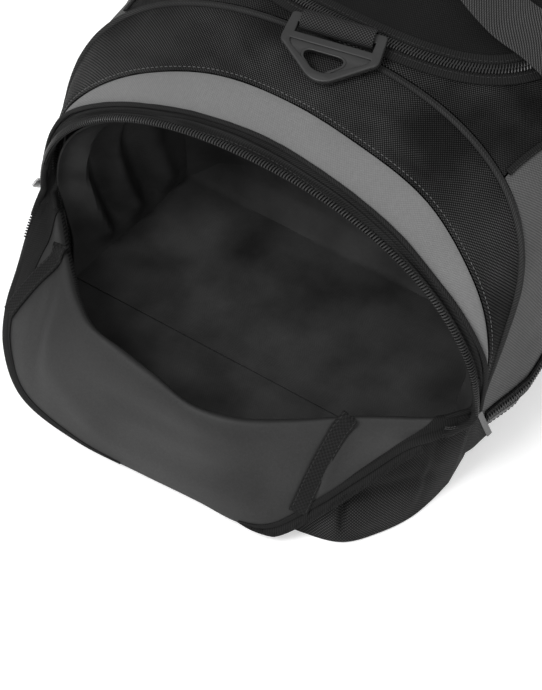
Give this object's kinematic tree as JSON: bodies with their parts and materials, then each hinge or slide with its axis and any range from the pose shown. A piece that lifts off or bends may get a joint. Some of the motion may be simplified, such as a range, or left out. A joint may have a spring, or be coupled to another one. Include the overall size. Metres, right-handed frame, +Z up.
{
  "type": "wheeled holdall bag",
  "caption": "Soft wheeled holdall with an arched shoe pocket unzipped at one end, webbing carry handles, plastic strap rings and small wheels at the other end.",
  "frame": {"origin": "middle of the underside of the base, where the bag stands", "axes": "+Y runs along the bag from the open shoe pocket at the near end to the wheels at the far end, +X to the right seen from the near end, +Z up"},
  "size_m": [0.3957, 0.8277, 0.361],
  "materials": {
    "black_weave": "black dobby-woven polyester with a small diamond figure",
    "grey_weave": "dark grey fine plain-woven polyester",
    "pale_weave": "light grey fine-woven polyester",
    "coated_cloth": "dark grey coated cloth with a soft sheen",
    "lining_cloth": "thin black coated lining",
    "black_tape": "black folded binding tape",
    "webbing": "black ribbed webbing",
    "zip_coil": "black woven zip tape with a nylon coil",
    "ring_plastic": "dark grey moulded plastic, satin",
    "housing_plastic": "black moulded plastic, fine grain",
    "wheel_rubber": "black rubber, scuffed",
    "slider_metal": "nickel-plated, lightly worn"
  },
  "bodies": {
    "bag": {"base_panel": "black_weave", "side_panel_left": "grey_weave", "side_panel_right": "grey_weave", "yoke": "black_weave", "lid": "black_weave", "far_panel": "black_weave", "near_piping": "black_tape", "far_piping": "black_tape", "end_panel": "black_weave", "crescent_band": "pale_weave", "pocket_rim": "black_tape", "rim_fold": "black_tape", "rim_coil": "zip_coil", "pocket_front": "coated_cloth", "pocket_floor": "lining_cloth", "pocket_lining": "lining_cloth", "flap_zip": "zip_coil", "binding_left": "webbing", "binding_right": "webbing", "main_zip": "zip_coil", "main_slider": "slider_metal", "pocket_slider": "slider_metal", "side_zip_left": "zip_coil", "side_slider_left": "slider_metal", "side_zip_right": "zip_coil", "side_slider_right": "slider_metal", "shoulder_trim_left": "black_tape", "base_trim_left": "pale_weave", "shoulder_trim_right": "black_tape", "base_trim_right": "pale_weave", "handle_left": "webbing", "handle_right": "webbing", "ring_loop_near": "webbing", "ring_loop_far": "webbing", "wheel_housing_left": "housing_plastic", "wheel_housing_right": "housing_plastic"},
    "ring_near": {"strap_ring_near": "ring_plastic"},
    "ring_far": {"strap_ring_far": "ring_plastic"},
    "wheel_left": {"wheel_hub_left": "ring_plastic", "wheel_tyre_left": "wheel_rubber"},
    "wheel_right": {"wheel_hub_right": "ring_plastic", "wheel_tyre_right": "wheel_rubber"}
  },
  "joints": [
    {"name": "ring_near_swing", "type": "hinge", "parent": "bag", "child": "ring_near", "pos_m": [0, -0.239, 0.258], "axis": [-0.9781, -0.2079, 0], "range_deg": [0, 110]},
    {"name": "ring_far_swing", "type": "hinge", "parent": "bag", "child": "ring_far", "pos_m": [0, 0.3135, 0.269], "axis": [1, 0, 0], "range_deg": [0, 110]},
    {"name": "wheel_left_spin", "type": "hinge", "parent": "bag", "child": "wheel_left", "pos_m": [-0.122, 0.3275, 0.0325], "axis": [1, 0, 0], "continuous": true},
    {"name": "wheel_right_spin", "type": "hinge", "parent": "bag", "child": "wheel_right", "pos_m": [0.122, 0.3275, 0.0325], "axis": [1, 0, 0], "continuous": true}
  ]
}
